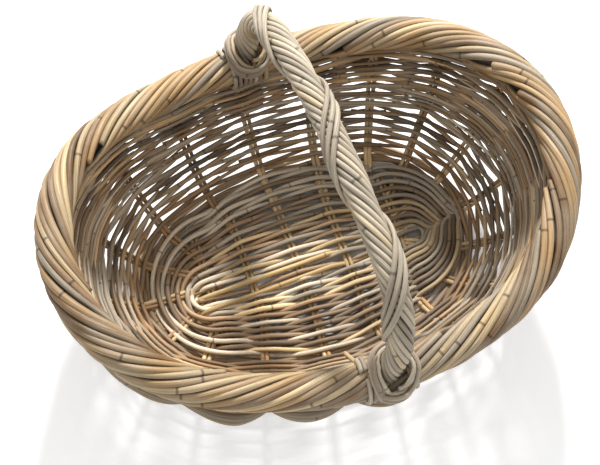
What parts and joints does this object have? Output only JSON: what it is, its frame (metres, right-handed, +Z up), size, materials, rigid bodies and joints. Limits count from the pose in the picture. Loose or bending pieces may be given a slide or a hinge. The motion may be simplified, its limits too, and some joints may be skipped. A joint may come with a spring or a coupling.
{
  "type": "wicker basket",
  "caption": "Oval woven cane shopping basket with flared open-weave walls, a rolled saddle-shaped rim and a fixed roped bow handle lashed across the middle.",
  "frame": {"origin": "on the floor under the middle of the basket", "axes": "+X along the basket's length, +Y towards its back, +Z up"},
  "size_m": [0.4728, 0.3633, 0.269],
  "materials": {
    "border_cane": "satin honey and grey round cane",
    "bow_cane": "matt pale weathered round cane",
    "wall_cane": "matt grey-brown weathered round cane",
    "base_cane": "matt grey-brown round cane",
    "stick_cane": "matt brown round cane"
  },
  "bodies": {
    "root": {"base_cross_sticks": "stick_cane", "base_long_sticks": "stick_cane", "base_weave": "base_cane", "foot_wale": "wall_cane", "stakes_front": "stick_cane", "stakes_back": "stick_cane", "stakes_left": "stick_cane", "stakes_right": "stick_cane", "upsett_wale": "wall_cane", "lower_weave": "wall_cane", "upper_weave": "wall_cane", "packing_left": "wall_cane", "packing_right": "wall_cane", "top_wale": "wall_cane", "border_roll": "border_cane", "bow_core": "stick_cane", "bow_wrap": "bow_cane", "bow_counter_strands": "bow_cane", "collar_front": "bow_cane", "collar_back": "bow_cane", "lashing_front": "border_cane", "lashing_back": "border_cane"}
  },
  "joints": []
}
